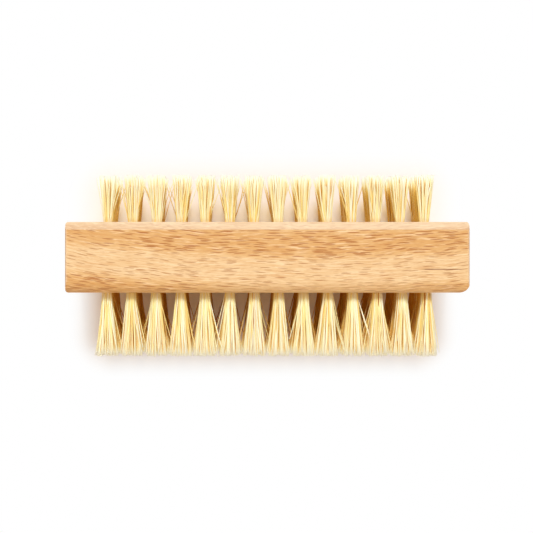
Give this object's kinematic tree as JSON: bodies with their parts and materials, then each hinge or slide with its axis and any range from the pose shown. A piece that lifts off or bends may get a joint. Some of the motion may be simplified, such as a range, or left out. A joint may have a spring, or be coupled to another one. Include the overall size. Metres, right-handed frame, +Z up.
{
  "type": "nail brush",
  "caption": "Two-sided nail brush: a rounded wooden block with long plant-fibre tufts on one face and short ones on the other, each tuft folded round a wire anchor in its hole.",
  "frame": {"origin": "middle of the narrow side of the block that the brush lies on", "axes": "+X along the block, +Y out of the face with the short tufts, -Y out of the face with the long tufts, +Z up from the side it lies on"},
  "size_m": [0.095, 0.0434, 0.036],
  "materials": {
    "beech": "matte",
    "fibre": "matte",
    "anchor_wire": "satin"
  },
  "bodies": {
    "root": {"block": "beech", "long_tufts_01": "fibre", "long_tufts_02": "fibre", "long_tufts_03": "fibre", "long_tufts_04": "fibre", "long_tufts_05": "fibre", "long_tufts_06": "fibre", "long_tufts_07": "fibre", "long_tufts_08": "fibre", "long_tufts_09": "fibre", "long_tufts_10": "fibre", "long_tufts_11": "fibre", "long_tufts_12": "fibre", "long_tufts_13": "fibre", "long_tufts_14": "fibre", "short_tufts_01": "fibre", "short_tufts_02": "fibre", "short_tufts_03": "fibre", "short_tufts_04": "fibre", "short_tufts_05": "fibre", "short_tufts_06": "fibre", "short_tufts_07": "fibre", "short_tufts_08": "fibre", "short_tufts_09": "fibre", "short_tufts_10": "fibre", "short_tufts_11": "fibre", "short_tufts_12": "fibre", "short_tufts_13": "fibre", "short_tufts_14": "fibre", "long_anchors_01": "anchor_wire", "long_anchors_02": "anchor_wire", "long_anchors_03": "anchor_wire", "long_anchors_04": "anchor_wire", "long_anchors_05": "anchor_wire", "long_anchors_06": "anchor_wire", "long_anchors_07": "anchor_wire", "long_anchors_08": "anchor_wire", "long_anchors_09": "anchor_wire", "long_anchors_10": "anchor_wire", "long_anchors_11": "anchor_wire", "long_anchors_12": "anchor_wire", "long_anchors_13": "anchor_wire", "long_anchors_14": "anchor_wire", "short_anchors_01": "anchor_wire", "short_anchors_02": "anchor_wire", "short_anchors_03": "anchor_wire", "short_anchors_04": "anchor_wire", "short_anchors_05": "anchor_wire", "short_anchors_06": "anchor_wire", "short_anchors_07": "anchor_wire", "short_anchors_08": "anchor_wire", "short_anchors_09": "anchor_wire", "short_anchors_10": "anchor_wire", "short_anchors_11": "anchor_wire", "short_anchors_12": "anchor_wire", "short_anchors_13": "anchor_wire", "short_anchors_14": "anchor_wire"}
  },
  "joints": []
}
